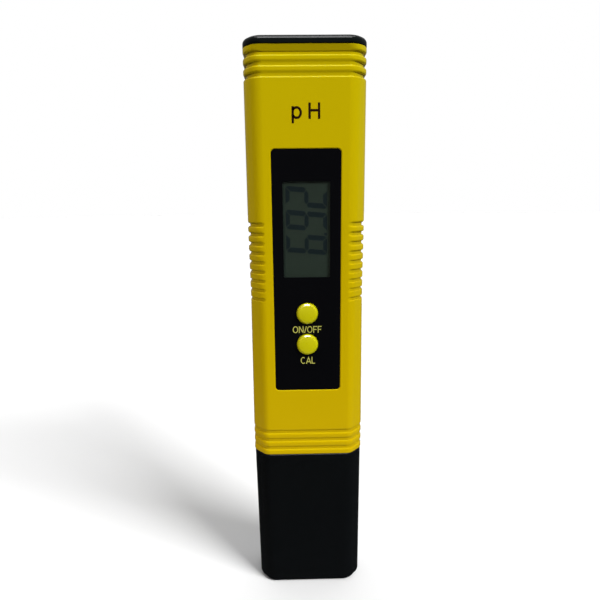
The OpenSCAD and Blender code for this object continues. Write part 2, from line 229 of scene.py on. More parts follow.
def loft(name, rings, closed=False):
    """A mesh through rings of equally many points. A closed loft joins its last ring to its first."""
    n, count = len(rings[0]), len(rings)
    verts = [p for ring in rings for p in ring]
    faces = []
    for k in range(count if closed else count - 1):
        a, b = k * n, ((k + 1) % count) * n
        faces += [(a + i, a + (i + 1) % n, b + (i + 1) % n, b + i) for i in range(n)]
    if not closed:
        faces += [tuple(range(n))[::-1], tuple(range((count - 1) * n, count * n))]
    return mesh_object(name, verts, faces)


def lathe(name, profile, centre, axis="Z", steps=64):
    """A turned solid. The profile lists (radius, place along the axis), and its ends lie on the axis."""
    verts, faces, rows = [], [], []
    for radius, along in profile:
        if radius < 1e-9:
            rows.append([len(verts)])
            verts.append((0.0, 0.0, along))
            continue
        rows.append(list(range(len(verts), len(verts) + steps)))
        turns = [2 * math.pi * i / steps for i in range(steps)]
        verts += [(radius * math.cos(a), radius * math.sin(a), along) for a in turns]
    for low, high in zip(rows, rows[1:]):
        for i in range(steps):
            j = (i + 1) % steps
            quad = [low[i % len(low)], low[j % len(low)], high[j % len(high)], high[i % len(high)]]
            corners = list(dict.fromkeys(quad))
            if len(corners) > 2:
                faces.append(tuple(corners))
    if axis == "Y":
        verts = [(x, z, y) for x, y, z in verts]
    place = Vector(centre)
    return mesh_object(name, [Vector(v) + place for v in verts], faces)


def join(name, objects):
    """One object with the meshes of several."""
    bm = bmesh.new()
    for obj in objects:
        bm.from_mesh(obj.data)
        bpy.data.objects.remove(obj)
    mesh = bpy.data.meshes.new(name)
    bm.to_mesh(mesh)
    bm.free()
    obj = bpy.data.objects.new(name, mesh)
    bpy.context.scene.collection.objects.link(obj)
    return obj


def bake(obj):
    """Applies the object's modifiers to its mesh."""
    depsgraph = bpy.context.evaluated_depsgraph_get()
    mesh = bpy.data.meshes.new_from_object(obj.evaluated_get(depsgraph))
    obj.modifiers.clear()
    obj.data = mesh


def cut(obj, cutter):
    """Cuts one closed mesh with another, and removes the cutter."""
    step = obj.modifiers.new("cut", "BOOLEAN")
    step.operation = "DIFFERENCE"
    step.solver = "EXACT"
    step.object = cutter
    bake(obj)
    bpy.data.objects.remove(cutter)


def finish_piece(obj, material, body, replaces=(), sharp=35):
    """Smooths a piece's shading up to sharp degrees, gives it its material, and ties it to its body."""
    obj.data.materials.clear()
    obj.data.materials.append(material)
    obj.data.shade_smooth()
    obj.data.set_sharp_from_angle(angle=math.radians(sharp))
    weighted = obj.modifiers.new("even_normals", "WEIGHTED_NORMAL")
    weighted.keep_sharp = True
    weighted.weight = 80
    bake(obj)
    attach(obj, body)
    if replaces:
        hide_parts(*replaces)
    return obj


# ---- Materials ----


def node_material(name):
    material = bpy.data.materials.new(name)
    material.use_nodes = True
    nodes, links = material.node_tree.nodes, material.node_tree.links
    return material, nodes, links, nodes["Principled BSDF"]


def object_noise(nodes, links, scale, detail, roughness=0.5, stretch=(1, 1, 1)):
    """Noise fixed to the object's own coordinates."""
    coords = nodes.new("ShaderNodeTexCoord")
    mapping = nodes.new("ShaderNodeMapping")
    mapping.inputs["Scale"].default_value = stretch
    noise = nodes.new("ShaderNodeTexNoise")
    noise.inputs["Scale"].default_value = scale
    noise.inputs["Detail"].default_value = detail
    noise.inputs["Roughness"].default_value = roughness
    links.new(coords.outputs["Object"], mapping.inputs["Vector"])
    links.new(mapping.outputs["Vector"], noise.inputs["Vector"])
    return noise.outputs["Fac"]


def blend_colours(nodes, links, factor, first, second):
    mix = nodes.new("ShaderNodeMix")
    mix.data_type = "RGBA"
    mix.inputs["A"].default_value = (*first, 1)
    mix.inputs["B"].default_value = (*second, 1)
    links.new(factor, mix.inputs["Factor"])
    return mix.outputs["Result"]


def map_range(nodes, links, source, start, end, low, high, kind="LINEAR"):
    ramp = nodes.new("ShaderNodeMapRange")
    ramp.interpolation_type = kind
    for name, value in (("From Min", start), ("From Max", end), ("To Min", low), ("To Max", high)):
        ramp.inputs[name].default_value = value
    links.new(source, ramp.inputs["Value"])
    return ramp.outputs["Result"]


def spread(nodes, links, factor, low, high):
    """Maps noise, whose values lie mostly between 0.3 and 0.7, onto a range."""
    return map_range(nodes, links, factor, 0.3, 0.7, low, high)


def combine(nodes, links, operation, first, second):
    """Adds or multiplies two values."""
    node = nodes.new("ShaderNodeMath")
    node.operation = operation
    links.new(first, node.inputs[0])
    links.new(second, node.inputs[1])
    return node.outputs["Value"]


def add_bump(nodes, links, shader, height, strength, distance):
    bump = nodes.new("ShaderNodeBump")
    bump.inputs["Strength"].default_value = strength
    bump.inputs["Distance"].default_value = distance
    links.new(height, bump.inputs["Height"])
    links.new(bump.outputs["Normal"], shader.inputs["Normal"])


def plastic(name, colour, shade, roughness, grain=0.1, gloss=0.5, smudge=0.05):
    """Moulded plastic: slow changes of colour, handling marks in the gloss, and a fine moulded grain."""
    material, nodes, links, shader = node_material(name)
    drift = object_noise(nodes, links, 60, detail=4)
    links.new(blend_colours(nodes, links, drift, colour, shade), shader.inputs["Base Color"])
    marks = object_noise(nodes, links, 320, detail=6, roughness=0.65)
    links.new(spread(nodes, links, marks, roughness - smudge, roughness + smudge), shader.inputs["Roughness"])
    shader.inputs["Specular IOR Level"].default_value = gloss
    fine = object_noise(nodes, links, 5200, detail=2)
    add_bump(nodes, links, shader, fine, grain, 0.02 * MM)
    return material


def lacquer(material, weight, ior):
    """Adds a clear glossy coat to a material."""
    shader = material.node_tree.nodes["Principled BSDF"]
    shader.inputs["Coat Weight"].default_value = weight
    shader.inputs["Coat IOR"].default_value = ior
    shader.inputs["Coat Roughness"].default_value = 0.12


def tint_gloss(material, tint):
    shader = material.node_tree.nodes["Principled BSDF"]
    shader.inputs["Specular Tint"].default_value = (*tint, 1)


def paint_warm_shade_towards_foot(material, tint):
    """Painted warm shade: tints a material's colour more orange down the case's height, for the warmer light
    low on it.
    """
    nodes, links = material.node_tree.nodes, material.node_tree.links
    colour_input = nodes["Principled BSDF"].inputs["Base Color"]
    colour = colour_input.links[0].from_socket
    coords = nodes.new("ShaderNodeTexCoord")
    split = nodes.new("ShaderNodeSeparateXYZ")
    links.new(coords.outputs["Object"], split.inputs["Vector"])
    down = map_range(nodes, links, split.outputs["Z"], RIM_Z, SEAM_Z, 0.0, 1.0)
    mix = nodes.new("ShaderNodeMix")
    mix.data_type = "RGBA"
    mix.blend_type = "MULTIPLY"
    mix.inputs["B"].default_value = (*tint, 1)
    links.new(down, mix.inputs["Factor"])
    links.new(colour, mix.inputs["A"])
    links.new(mix.outputs["Result"], colour_input)


def metal(name, colour, roughness, stretch):
    """Drawn or brushed metal, with streaks along one direction."""
    material, nodes, links, shader = node_material(name)
    streaks = object_noise(nodes, links, 900, detail=4, stretch=stretch)
    dull = tuple(c * 0.82 for c in colour)
    links.new(blend_colours(nodes, links, streaks, colour, dull), shader.inputs["Base Color"])
    links.new(spread(nodes, links, streaks, roughness * 0.8, roughness * 1.3), shader.inputs["Roughness"])
    shader.inputs["Metallic"].default_value = 1.0
    add_bump(nodes, links, shader, streaks, 0.15, 0.01 * MM)
    return material


def clear_sheet(name, tint, ior):
    """A thin clear sheet: light passes straight through it, under a light gloss on its outer faces."""
    material, nodes, links, shader = node_material(name)
    nodes.remove(shader)
    through = nodes.new("ShaderNodeBsdfTransparent")
    through.inputs["Color"].default_value = (*tint, 1)
    shine = nodes.new("ShaderNodeBsdfGlossy")
    haze = object_noise(nodes, links, 400, detail=5)
    links.new(spread(nodes, links, haze, 0.05, 0.11), shine.inputs["Roughness"])
    edge = nodes.new("ShaderNodeFresnel")
    edge.inputs["IOR"].default_value = ior
    geometry = nodes.new("ShaderNodeNewGeometry")
    front_only = nodes.new("ShaderNodeMath")
    front_only.operation = "MULTIPLY_ADD"
    front_only.inputs[1].default_value = -1.0
    front_only.inputs[2].default_value = 1.0
    links.new(geometry.outputs["Backfacing"], front_only.inputs[0])
    mix = nodes.new("ShaderNodeMixShader")
    outside = combine(nodes, links, "MULTIPLY", edge.outputs["Fac"], front_only.outputs["Value"])
    links.new(outside, mix.inputs["Fac"])
    links.new(through.outputs["BSDF"], mix.inputs[1])
    links.new(shine.outputs["BSDF"], mix.inputs[2])
    links.new(mix.outputs["Shader"], nodes["Material Output"].inputs["Surface"])
    return material


def glass(name, colour):
    material, nodes, links, shader = node_material(name)
    shader.inputs["Base Color"].default_value = (*colour, 1)
    shader.inputs["Transmission Weight"].default_value = 1.0
    shader.inputs["IOR"].default_value = 1.47
    ripple = object_noise(nodes, links, 180, detail=2)
    links.new(spread(nodes, links, ripple, 0.01, 0.04), shader.inputs["Roughness"])
    return material


def board_green(name):
    """Solder mask over copper tracks: straight tracks show as a slightly raised, lighter green."""
    material, nodes, links, shader = node_material(name)
    coords = nodes.new("ShaderNodeTexCoord")
    tracks = nodes.new("ShaderNodeTexBrick")
    tracks.inputs["Scale"].default_value = 420
    tracks.inputs["Mortar Size"].default_value = 0.06
    tracks.inputs["Color1"].default_value = (0.012, 0.10, 0.035, 1)
    tracks.inputs["Color2"].default_value = (0.010, 0.12, 0.045, 1)
    tracks.inputs["Mortar"].default_value = (0.03, 0.21, 0.08, 1)
    turn = nodes.new("ShaderNodeMapping")
    turn.inputs["Rotation"].default_value = (math.pi / 2, 0, 0)
    links.new(coords.outputs["Object"], turn.inputs["Vector"])
    links.new(turn.outputs["Vector"], tracks.inputs["Vector"])
    links.new(tracks.outputs["Color"], shader.inputs["Base Color"])
    shader.inputs["Roughness"].default_value = 0.3
    add_bump(nodes, links, shader, tracks.outputs["Fac"], 0.3, 0.03 * MM)
    return material


# Each plastic's colour, the shade it drifts to, its roughness, and where needed its grain, gloss and smudges.
YELLOW = plastic("yellow_abs", (0.385, 0.305, 0.0003), (0.370, 0.290, 0.0003), 0.24, 0.05, 0.26, 0.03)
tint_gloss(YELLOW, (0.7, 1.0, 0.15))
# Painted warm shade: the case's yellow turns more orange towards its foot.
paint_warm_shade_towards_foot(YELLOW, (1.0, 0.87, 1.0))
BUTTON_YELLOW = plastic("button_yellow", (0.395, 0.38, 0.0005), (0.375, 0.355, 0.0005), 0.3, 0.12, 0.1)
lacquer(BUTTON_YELLOW, 1.0, 1.7)
BLACK_GLOSS = plastic("black_gloss", (0.0017, 0.0022, 0.0027), (0.0023, 0.0028, 0.0034), 0.14, 0.03)
BLACK_SATIN = plastic("black_satin", (0.003, 0.0046, 0.0046), (0.0036, 0.0052, 0.0052), 0.12, 0.03, 0.2, 0.03)
PANEL_BLACK = plastic("panel_black", (0.0013, 0.0014, 0.0021), (0.0019, 0.0020, 0.0027), 0.3, 0.0, 0.08, 0.02)
COMPONENT_BLACK = plastic("component_black", (0.012, 0.012, 0.013), (0.02, 0.02, 0.021), 0.5, 0.25)
COMPONENT_TAN = plastic("component_tan", (0.35, 0.22, 0.10), (0.28, 0.17, 0.08), 0.55, 0.2)
WHITE_PLASTIC = plastic("white_plastic", (0.74, 0.74, 0.70), (0.66, 0.66, 0.62), 0.45)
ELASTOMER = plastic("elastomer", (0.55, 0.14, 0.12), (0.46, 0.11, 0.10), 0.6, 0.2)
POTTING = plastic("potting", (0.02, 0.02, 0.022), (0.03, 0.03, 0.032), 0.3)
lacquer(POTTING, 0.3, 1.5)
SEAL_RUBBER = plastic("seal_rubber", (0.011, 0.011, 0.012), (0.018, 0.018, 0.019), 0.62, 0.3, 0.35)
CERAMIC = plastic("ceramic", (0.66, 0.62, 0.52), (0.56, 0.52, 0.42), 0.75, 0.5)
WIRE_RED = plastic("wire_red", (0.42, 0.012, 0.008), (0.34, 0.010, 0.008), 0.4)
WIRE_BLACK = plastic("wire_black", (0.008, 0.008, 0.009), (0.014, 0.014, 0.015), 0.42)
WIRE_WHITE = plastic("wire_white", (0.66, 0.66, 0.66), (0.58, 0.58, 0.58), 0.42)
INK_DARK = plastic("ink_dark", (0.010, 0.004, 0.0012), (0.014, 0.005, 0.0015), 0.5, 0.1, 0.1)
INK_YELLOW = plastic("ink_yellow", (0.40, 0.40, 0.09), (0.30, 0.30, 0.06), 0.5)
LCD_FIELD = plastic("lcd_field", (0.0215, 0.0300, 0.0255), (0.0200, 0.0280, 0.0238), 0.4, 0.0, 0.1)
LCD_MARK = plastic("lcd_mark", (0.0070, 0.0120, 0.0155), (0.0080, 0.0130, 0.0165), 0.4, 0.0, 0.1)

# Each metal's colour, its roughness, and how its streaks are stretched.
STEEL = metal("steel", (0.62, 0.62, 0.64), 0.24, (1, 1, 0.1))
NICKEL = metal("nickel", (0.66, 0.62, 0.54), 0.22, (0.1, 1, 1))
SILVER = metal("silver", (0.82, 0.82, 0.80), 0.18, (1, 1, 0.05))

WINDOW_CLEAR = clear_sheet("window_clear", (0.93, 0.95, 0.94), 1.35)
ELECTRODE_GLASS = glass("electrode_glass", (0.93, 0.97, 0.97))
BOARD_GREEN = board_green("board_green")

# ---- Case ----


def high_rings():
    return [RIM_Z - FIRST_RING - i * GROOVE_PITCH for i in range(RING_COUNT)]


def low_rings():
    return [SEAM_Z + LOW_RING + i * GROOVE_PITCH for i in range(RING_COUNT)]


def grip_centres():
    return [GRIP_Z + (i - (GRIP_COUNT - 1) / 2) * GROOVE_PITCH for i in range(GRIP_COUNT)]


def groove(z, centres):
    """How far a set of grooves cuts in at a height, from 0 to 1: flat floors and round-shouldered ribs."""
    away = min(abs(z - c) for c in centres)
    t = (away - GROOVE_FLOOR) / GROOVE_FLANK
    if t <= 0:
        return 1.0
    return 1 - math.sqrt(1 - (1 - t) ** 2) if t < 1 else 0.0


def wave(z, centres):
    """Like groove, but each rib leans in gently above a groove, and rises steeply below its floor."""
    up = min((z - c for c in centres), key=abs)
    t = up / WAVE_LEAN if up > 0 else (-up - WAVE_FLOOR) / WAVE_FLANK
    return (1 + math.cos(math.pi * min(max(t, 0.0), 1.0))) / 2


def band_depth(z):
    """The topmost band's front face: set in a little under the lid, and leaning in to the first groove."""
    first = RIM_Z - FIRST_RING
    t = (RIM_Z - z) / FIRST_RING
    return LID_REVEAL + (FIRST_FRONT_DEPTH - LID_REVEAL) * t if z > first else 0.0


def waist_depth(z):
    """The case's sides draw in a little below the grips, and stand proud again at the lower ribs."""
    above_ribs = z - low_rings()[-1] - GROOVE_FLOOR - GROOVE_FLANK
    grips = GRIP_COUNT * GROOVE_PITCH
    below_grips = GRIP_Z + grips / 2 - z
    return WAIST * smooth(above_ribs / GROOVE_FLANK) * smooth(below_grips / grips)


def side_mask(point, slope):
    """1 on the sides and slopes, 0 on the flat front and back, and soft over the edge between them."""
    width, depth, face_r, _ = slope
    reach = face_r * math.tan(math.atan2(depth, width) / 2)
    return smooth((abs(point.x) - CASE_W / 2 + width + reach) / (2 * reach))


def grip_mask(point, slope):
    """The share of their depth that the grips' grooves have: all at the sides, none at their inner ends."""
    share = GRIP_FRONT_SHARE + (1 - GRIP_FRONT_SHARE) * side_mask(point, slope)
    return share * smooth((abs(point.x) - CASE_W / 2 + GRIP_REACH) / GRIP_END)


def housing_levels():
    """Heights of the case's rings: close together where the grooves are."""
    flank = (0.0, 0.02, 0.08, 0.18, 0.32, 0.5, 0.75, 1.0)
    levels = set()
    for c in high_rings() + low_rings() + grip_centres():
        for t in flank:
            levels.update((c - GROOVE_FLOOR - t * GROOVE_FLANK, c + GROOVE_FLOOR + t * GROOVE_FLANK))
    for c in high_rings():
        levels.update(c + WAVE_LEAN * k / 6 for k in range(7))
        levels.update(c - WAVE_FLOOR - WAVE_FLANK * k / 5 for k in range(6))
    ends = 0.25 * MM
    least_step = 0.01 * MM
    inner = sorted(z for z in levels if SEAM_Z + ends < z < RIM_Z - ends)
    return [z for before, z in zip([SEAM_Z] + inner, inner) if z - before > least_step]


def housing_section(z, extra=0.0):
    """The case's outline at a height, with its grooves cut in, drawn in by extra more."""
    slope = slope_at(z)
    probe = 1.0 * MM
    outer = case_outline(0.0, slope)
    deeper = case_outline(probe, slope)
    first, *others = high_rings()
    high = groove(z, high_rings())
    low = LOW_DEPTH * groove(z, low_rings())
    grip = GRIP_DEPTH * groove(z, grip_centres())
    high_front = max(FIRST_FRONT_DEPTH * groove(z, [first]), HIGH_FRONT_DEPTH * wave(z, others))
    front = max(high_front, low, band_depth(z))
    side = max(HIGH_SIDE_DEPTH * high, low, waist_depth(z))
    section = []
    for p, q in zip(outer, deeper):
        depth = max(front + (side - front) * side_mask(p, slope), grip * grip_mask(p, slope))
        section.append(Vector((*(p + (q - p) / probe * (depth + extra)), z)))
    return section


def housing_shell():
    """The case's outside, solid until the cutters open it."""
    end_round = 0.2 * MM
    foot = [housing_section(SEAM_Z + up, side) for up, side in fillet(end_round)]
    rings = foot + [housing_section(z) for z in housing_levels()]
    rings += [housing_section(RIM_Z - down, side) for down, side in reversed(fillet(end_round))]
    return loft("housing_shell", rings)


def electronics_outline():
    """The section of the hollow below the battery bay, with a thicker wall at the front."""
    inner_y = FRONT_Y + FRONT_WALL
    return [Vector((p.x, max(p.y, inner_y))) for p in case_outline(SIDE_WALL)]


def bay_cutter():
    """The case's hollow, which widens into the battery bay at its top."""
    past, step = 1.0 * MM, 0.1 * MM
    narrow, wide = electronics_outline(), case_outline(BAY_WALL)
    rings = [
        at_height(narrow, SEAM_Z - past),
        at_height(narrow, BAY_Z),
        at_height(wide, BAY_Z + step),
        at_height(wide, RIM_Z + past),
    ]
    return loft("bay_cutter", rings)


def recess_cutter():
    """The panel's recess, whose rim is a small round."""
    past, rim_r, gap = 1.0 * MM, 0.28 * MM, 0.05 * MM

    def outline(grow):
        return rectangle(PANEL_CENTRE, PANEL_W + 2 * grow, PANEL_H + 2 * grow, PANEL_CORNER_R + grow)

    rings = [at_depth(outline(gap), RECESS_Y)]
    rings += [at_depth(outline(gap + out), FRONT_Y + down) for out, down in fillet(rim_r)]
    rings.append(at_depth(outline(gap + rim_r), FRONT_Y - past))
    return loft("recess_cutter", rings)


def opening_cutters():
    """The display's opening and the two buttons' stepped seats, behind the panel."""
    past, gap, corner_r = 1.0 * MM, 0.1 * MM, 0.3 * MM
    near, far = RECESS_Y - past, FRONT_Y + FRONT_WALL + past
    opening = rectangle(WINDOW_CENTRE, LCD_W + 2 * gap, LCD_H + 2 * gap, corner_r)
    parts = [loft("display_cutter", [at_depth(opening, near), at_depth(opening, far)])]
    seat_r, hole_r, seat_y = 3.8 * MM, 2.6 * MM, RECESS_Y + 0.9 * MM
    profile = [(0, near), (seat_r, near), (seat_r, seat_y), (hole_r, seat_y), (hole_r, far), (0, far)]
    for x, z in BUTTON_CENTRES:
        parts.append(lathe("seat_cutter", profile, (x, 0, z), axis="Y"))
    return join("opening_cutters", parts)


def build_housing():
    shell = housing_shell()
    cut(shell, bay_cutter())
    cut(shell, recess_cutter())
    cut(shell, opening_cutters())
    return finish_piece(shell, YELLOW, "meter", ["housing"])


def build_board_posts():
    """Four posts behind the front wall, each flared at its root, that carry the circuit board."""
    wall_y = FRONT_Y + FRONT_WALL
    sunk = 0.3 * MM
    bore_r, post_r, root_r = 0.8 * MM, 1.9 * MM, 2.4 * MM
    root, soft, bore_end = 0.6 * MM, 0.1 * MM, 0.4 * MM
    profile = [
        (0, wall_y - sunk), (root_r, wall_y - sunk), (root_r, wall_y),
        (post_r + root * 0.2, wall_y + root * 0.4), (post_r, wall_y + root),
        (post_r, BOARD_FACE_Y - soft), (post_r - soft, BOARD_FACE_Y),
        (bore_r + soft, BOARD_FACE_Y), (bore_r, BOARD_FACE_Y - soft),
        (bore_r, wall_y + bore_end), (0, wall_y + bore_end),
    ]
    side_x, low_z, high_z = 9 * MM, 62 * MM, 127.6 * MM
    places = [(x, 0, z) for x in (-side_x, side_x) for z in (low_z, high_z)]
    posts = [lathe("post", profile, place, axis="Y", steps=32) for place in places]
    return finish_piece(join("board_posts", posts), YELLOW, "meter")


# ---- Front panel, display and buttons ----


def thin_sheet(name, outline_at, near, far, edge):
    """A flat sheet in X and Z with small rounds on its front edge. outline_at(inset) gives its outline."""
    rings = [at_depth(outline_at(inset), near + down) for down, inset in fillet(edge, 4)]
    return loft(name, rings + [at_depth(outline_at(0.0), far)])


def build_panel():
    """The panel's sheet, with openings for the window and the two buttons."""

    def outline(inset):
        return rectangle(PANEL_CENTRE, PANEL_W - 2 * inset, PANEL_H - 2 * inset, PANEL_CORNER_R - inset)

    edge, past, gap = 0.08 * MM, 1.0 * MM, 0.05 * MM
    corner_r, hole_r = 0.3 * MM, 3.02 * MM
    panel = thin_sheet("panel_sheet", outline, PANEL_LOW.y, PANEL_HIGH.y, edge)
    openings = [rectangle(WINDOW_CENTRE, WINDOW_W + 2 * gap, WINDOW_H + 2 * gap, corner_r)]
    openings += [circle(centre, hole_r) for centre in BUTTON_CENTRES]
    near, far = PANEL_LOW.y - past, PANEL_HIGH.y + past
    cutters = [loft("panel_cutter", [at_depth(hole, near), at_depth(hole, far)]) for hole in openings]
    cut(panel, join("panel_cutters", cutters))
    return finish_piece(panel, PANEL_BLACK, "meter", ["front_panel"])


def build_window():
    """The clear sheet that fills the panel's opening over the display."""
    corner_r, edge = 0.28 * MM, 0.05 * MM

    def outline(inset):
        return rectangle(WINDOW_CENTRE, WINDOW_W - 2 * inset, WINDOW_H - 2 * inset, corner_r - inset)

    pane = thin_sheet("window_pane", outline, WINDOW_LOW.y, WINDOW_HIGH.y, edge)
    return finish_piece(pane, WINDOW_CLEAR, "meter", ["display_window"])


# The segments, by their usual letters, that make each digit of the reading.
LIT = {"6": "acdefg", "9": "abcdfg", "2": "abdeg"}
DIGIT_W = 5.0 * MM
DIGIT_H = 10.8 * MM
DIGIT_PITCH = 6.03 * MM
DIGIT_BASE_X = 5.4 * MM
DIGIT_START_Z = 100.65 * MM
DIGIT_SLANT = 0.094
BAR_UPRIGHT = 1.3 * MM
BAR_LEVEL = 1.05 * MM
BAR_GAP = 0.13 * MM


def segment_points():
    """Outlines of the seven segments in an upright digit, with mitred ends."""
    w, h, t, s, g = DIGIT_W, DIGIT_H, BAR_UPRIGHT, BAR_LEVEL, BAR_GAP
    mid, half = h / 2, BAR_LEVEL / 2
    nick = 0.35 * MM
    tip = t * 0.45
    upper_right = [
        (w, h - s * 0.6), (w - nick, h - g), (w - t, h - s - g),
        (w - t, mid + half + g), (w - tip, mid + g), (w, mid + half),
    ]
    top = [(nick + g, h), (w - nick - g, h), (w - t - g, h - s), (t + g, h - s)]
    middle = [
        (tip + g, mid), (t + g, mid + half), (w - t - g, mid + half),
        (w - tip - g, mid), (w - t - g, mid - half), (t + g, mid - half),
    ]

    def flip_x(points):
        return [(w - x, y) for x, y in points]

    def flip_y(points):
        return [(x, h - y) for x, y in points]

    return {
        "a": top, "b": upper_right, "c": flip_y(upper_right), "d": flip_y(top),
        "e": flip_x(flip_y(upper_right)), "f": flip_x(upper_right), "g": middle,
    }


def plate_from_outline(name, points, near, far):
    """A thin plate in X and Z from a plain outline."""
    outline = [Vector(p) for p in points]
    return loft(name, [at_depth(outline, near), at_depth(outline, far)])


def build_reading():
    """The reading 6.92, which runs up the display with the digits' tops to the left."""
    near, far = LCD_LOW.y - 0.03 * MM, LCD_LOW.y + 0.02 * MM

    def place(x, y, start):
        lean = DIGIT_SLANT * (y - DIGIT_H / 2)
        return DIGIT_BASE_X - y, start + x + lean

    shapes, parts = segment_points(), []
    for k, digit in enumerate("692"):
        start = DIGIT_START_Z + k * DIGIT_PITCH
        for letter in LIT[digit]:
            bar = [place(x, y, start) for x, y in shapes[letter]]
            parts.append(plate_from_outline("bar", bar, near, far))
    dot = 0.75 * MM
    dot_start = DIGIT_START_Z + DIGIT_W + (DIGIT_PITCH - DIGIT_W) / 2 - dot / 2
    square = [(0, 0), (dot, 0), (dot, dot), (0, dot)]
    parts.append(plate_from_outline("dot", [place(x, y, dot_start) for x, y in square], near, far))
    return finish_piece(join("display_reading", parts), LCD_MARK, "meter")


def build_lcd():
    """The display's two glass plates, with ground edges."""
    mid = (LCD_LOW.y + LCD_HIGH.y) / 2
    corner_r, edge, back_edge = 0.2 * MM, 0.12 * MM, 1.0 * MM

    def outline(inset, cut_h):
        return rectangle(LCD_CENTRE, LCD_W - 2 * inset, LCD_H - 2 * inset - 2 * cut_h, corner_r)

    rings = [
        at_depth(outline(edge, 0), LCD_LOW.y), at_depth(outline(0, 0), LCD_LOW.y + edge),
        at_depth(outline(0, 0), mid - edge), at_depth(outline(edge, edge), mid),
        at_depth(outline(0, back_edge), mid + edge), at_depth(outline(0, back_edge), LCD_HIGH.y - edge),
        at_depth(outline(edge, back_edge), LCD_HIGH.y),
    ]
    return finish_piece(loft("lcd_cell", rings), LCD_FIELD, "meter", ["lcd_glass"])


def build_button(name, node, low, high):
    """A button: a low dome with a round shoulder, a neck through the panel, a flange behind it and a stem."""
    x, z = middle_of(low, high)
    head_r, flange_r, stem_r = 2.9 * MM, (high.x - low.x) / 2, 2.3 * MM
    shoulder, rise, drop, soft = 0.85 * MM, 0.12 * MM, 0.04 * MM, 0.06 * MM
    flange_y = RECESS_Y + 0.05 * MM
    flange_back = flange_y + 0.45 * MM
    crown_r = head_r - shoulder
    crown_y = low.y + rise
    steps = 8
    dome = [(crown_r * k / steps, low.y + rise * (k / steps) ** 2) for k in range(steps + 1)]
    for k in range(1, steps + 1):
        a = math.pi / 2 * k / steps
        down = shoulder * (1 - math.cos(a)) + drop * math.sin(a)
        dome.append((crown_r + shoulder * math.sin(a), crown_y + down))
    profile = dome + [
        (head_r, flange_y - soft), (head_r + soft, flange_y),
        (flange_r - soft, flange_y), (flange_r, flange_y + soft),
        (flange_r, flange_back - soft), (flange_r - soft, flange_back),
        (stem_r, flange_back), (stem_r, high.y - soft), (stem_r - soft, high.y), (0, high.y),
    ]
    piece = lathe(name, profile, (x, 0, z), axis="Y", steps=96)
    return finish_piece(piece, BUTTON_YELLOW, node, [node], sharp=50)


# ---- Lettering ----


def arc(centre, radii, first, last, steps):
    """Points along an ellipse, with angles in degrees from +X."""
    angles = [math.radians(first + (last - first) * k / steps) for k in range(steps + 1)]
    return [(centre[0] + radii[0] * math.cos(a), centre[1] + radii[1] * math.sin(a)) for a in angles]


def ribbon(points, width, closed):
    """Left and right sides of a stroke of even width, mitred where it turns."""
    pts = [Vector(p) for p in points]
    count = len(pts)
    left, right = [], []
    for i, p in enumerate(pts):
        before = pts[i - 1] if (i > 0 or closed) else None
        after = pts[(i + 1) % count] if (i < count - 1 or closed) else None
        u = unit(p - before) if before is not None else unit(after - p)
        v = unit(after - p) if after is not None else u
        normal_u, normal_v = Vector((-u.y, u.x)), Vector((-v.y, v.x))
        mitre = unit(normal_u + normal_v)
        offset = mitre * (width / 2) / max(mitre.dot(normal_u), 0.35)
        left.append(p + offset)
        right.append(p - offset)
    return left, right


def stroke_plate(points, width, near, far, closed):
    """A stroke as a thin closed solid in X and Z."""
    left, right = ribbon(points, width, closed)
    sections = [
        [Vector((a.x, near, a.y)), Vector((a.x, far, a.y)), Vector((b.x, far, b.y)), Vector((b.x, near, b.y))]
        for a, b in zip(left, right)
    ]
    return loft("stroke", sections, closed)


def letter_strokes(letter, w, h, t):
    """The strokes of one letter in a box of w by h, as (points, closed)."""
    e = t / 2
    middle, radii = (w / 2, h / 2), (w / 2 - e, h / 2 - e)
    left, right = [(e, 0), (e, h)], [(w - e, 0), (w - e, h)]
    if letter == "O":
        return [(arc(middle, radii, 0, 360, 36)[:-1], True)]
    lines = {
        "N": [left, right, [(t * 0.9, h - e), (w - t * 0.9, e)]],
        "/": [[(e, 0), (w - e, h)]],
        "F": [[(e, 0), (e, h - e), (w, h - e)], [(t, h * 0.5), (w * 0.88, h * 0.5)]],
        "C": [arc(middle, radii, 48, 312, 30)],
        "A": [[(e * 0.8, 0), (w / 2, h - e), (w - e * 0.8, 0)], [(w * 0.27, h * 0.3), (w * 0.73, h * 0.3)]],
        "L": [[(e, h), (e, e), (w, e)]],
        "H": [left, right, [(t, h * 0.53), (w - t, h * 0.53)]],
    }
    if letter in lines:
        return [(points, False) for points in lines[letter]]
    # p: a stem that drops below the line, and a bowl that springs from it.
    bowl = arc((w * 0.48, h / 2), (w * 0.52 - e, h / 2 - e), 150, -150, 30)
    return [([(e, -h * 0.33), (e, h)], False), (bowl, False)]


def build_word(name, letters, low_left, height, stroke, depths, material):
    """A word on the meter from (letter, width, gap after, height share), drawn as thin raised ink."""
    x, z = low_left
    near, far = depths
    parts = []
    for letter, width, gap, share in letters:
        for points, closed in letter_strokes(letter, width, height * share, stroke):
            placed = [(x + px, z + pz) for px, pz in points]
            parts.append(stroke_plate(placed, stroke, near, far, closed))
        x += width + gap
    return finish_piece(join(name, parts), material, "meter")


